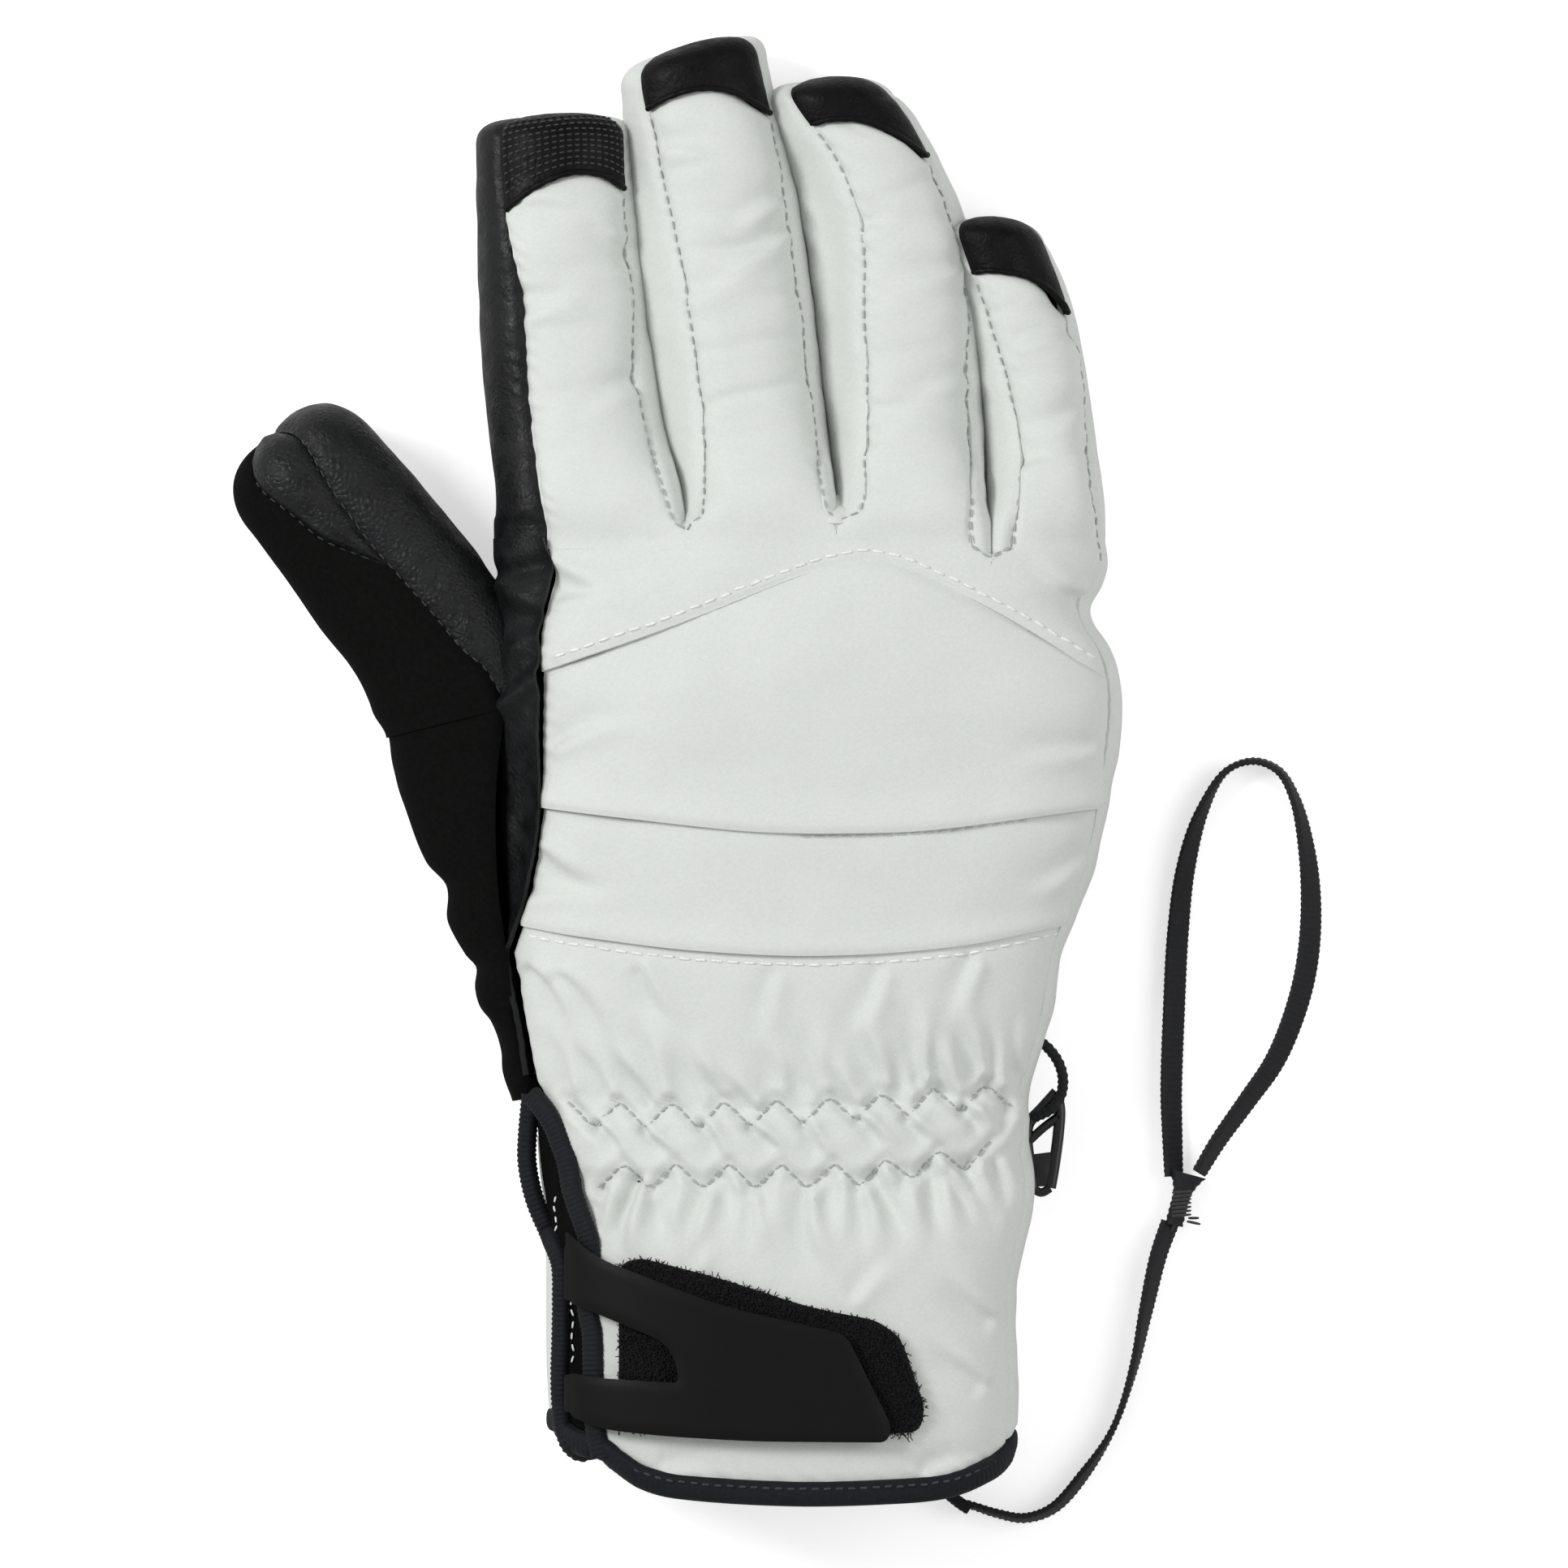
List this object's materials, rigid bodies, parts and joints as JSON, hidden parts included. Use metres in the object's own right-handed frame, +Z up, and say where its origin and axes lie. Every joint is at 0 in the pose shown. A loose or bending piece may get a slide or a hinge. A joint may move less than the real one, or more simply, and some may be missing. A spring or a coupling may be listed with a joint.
{
  "type": "ski glove",
  "caption": "Right-hand ski glove with sewn finger stalls, leather palm, pleated back, elastic wrist, strapped gauntlet, clip and wrist leash.",
  "frame": {"origin": "a point on the flat underside of the palm leather, on the level of the knuckles' middle; the glove lies palm down on Z = 0", "axes": "+X towards the little finger, +Y towards the fingertips, +Z up through the back of the hand"},
  "size_m": [0.2073, 0.2844, 0.0428],
  "materials": {
    "shell_fabric": "pale grey fine twill weave, matt with a slight sheen",
    "leather": "black grained synthetic leather, satin",
    "softshell": "deep black softshell knit, matt",
    "binding": "blue-black ribbed grosgrain binding",
    "lining": "charcoal brushed lining",
    "padding": "white fibre insulation",
    "membrane": "thin waterproof film, slightly glossy",
    "elastic": "woven elastic",
    "loop_pile": "fuzzy black hook-and-loop pile",
    "strap": "smooth matt black rubbery strap",
    "clip_plastic": "moulded black plastic",
    "cord": "black ribbed tape and braided cord"
  },
  "bodies": {
    "hand": {"upper_back_panel": "shell_fabric", "knuckle_panel": "shell_fabric", "pleat_panel": "shell_fabric", "wrist_back_panel": "shell_fabric", "side_leather": "leather", "outer_side_panel": "shell_fabric", "palm_leather": "leather", "thenar_panel": "softshell", "thenar_palm": "leather", "back_padding": "padding", "membrane": "membrane", "hand_lining": "lining", "wrist_elastic_upper": "elastic"},
    "cuff": {"cuff_back_panel": "shell_fabric", "cuff_side_panel": "shell_fabric", "cuff_palm_panel": "shell_fabric", "slit_binding_near": "binding", "slit_binding_far": "binding", "slit_gusset": "softshell", "cuff_lining": "lining", "hem_binding": "binding", "wrist_elastic_lower": "elastic", "loop_patch": "loop_pile", "strap_anchor": "strap", "leash_tether": "cord", "leash_loop": "cord", "leash_bartack": "cord"},
    "strap": {"strap_tab": "strap", "strap_hook_pad": "loop_pile"},
    "clip": {"clip": "clip_plastic", "clip_cord": "cord"},
    "thumb": {"thumb_inner_leather": "leather", "thumb_softshell": "softshell", "thumb_palm": "leather", "thumb_tip_patch": "leather", "thumb_liner": "lining"},
    "index": {"index_back": "shell_fabric", "index_inner_side": "shell_fabric", "index_leather_side": "leather", "index_palm": "leather", "index_tip_cap": "leather", "index_liner": "lining"},
    "middle": {"middle_back": "shell_fabric", "middle_little_side": "shell_fabric", "middle_thumb_side": "shell_fabric", "middle_palm": "leather", "middle_tip_cap": "leather", "middle_liner": "lining"},
    "ring": {"ring_back": "shell_fabric", "ring_little_side": "shell_fabric", "ring_thumb_side": "shell_fabric", "ring_palm": "leather", "ring_tip_cap": "leather", "ring_liner": "lining"},
    "little": {"little_back": "shell_fabric", "little_outer_side": "shell_fabric", "little_inner_side": "shell_fabric", "little_palm": "leather", "little_tip_cap": "leather", "little_liner": "lining"}
  },
  "joints": [
    {"name": "index_flex", "type": "hinge", "parent": "hand", "child": "index", "pos_m": [-0.044, 0.044, 0], "axis": [-0.9968, -0.0797, 0], "range_deg": [0, 65]},
    {"name": "middle_flex", "type": "hinge", "parent": "hand", "child": "middle", "pos_m": [-0.0115, 0.044, 0], "axis": [-0.9968, -0.0797, 0], "range_deg": [0, 65]},
    {"name": "ring_flex", "type": "hinge", "parent": "hand", "child": "ring", "pos_m": [0.0174, 0.044, 0], "axis": [-0.9968, -0.0797, 0], "range_deg": [0, 65]},
    {"name": "little_flex", "type": "hinge", "parent": "hand", "child": "little", "pos_m": [0.0436, 0.044, 0], "axis": [-0.9968, -0.0797, 0], "range_deg": [0, 65]},
    {"name": "thumb_flex", "type": "hinge", "parent": "hand", "child": "thumb", "pos_m": [-0.0715, 0.021, 0], "axis": [-0.82, -0.5724, 0], "range_deg": [0, 45]},
    {"name": "wrist_flex", "type": "hinge", "parent": "hand", "child": "cuff", "pos_m": [-0.003, -0.07, 0], "axis": [1, 0, 0], "range_deg": [0, 40]},
    {"name": "strap_peel", "type": "hinge", "parent": "cuff", "child": "strap", "pos_m": [-0.0473, -0.11, 0.0332], "axis": [0, -1, 0], "range_deg": [0, 150]},
    {"name": "clip_swing", "type": "hinge", "parent": "hand", "child": "clip", "pos_m": [0.0437, -0.053, 0.012], "axis": [0, 0, 1], "range_deg": [0, 45]}
  ]
}
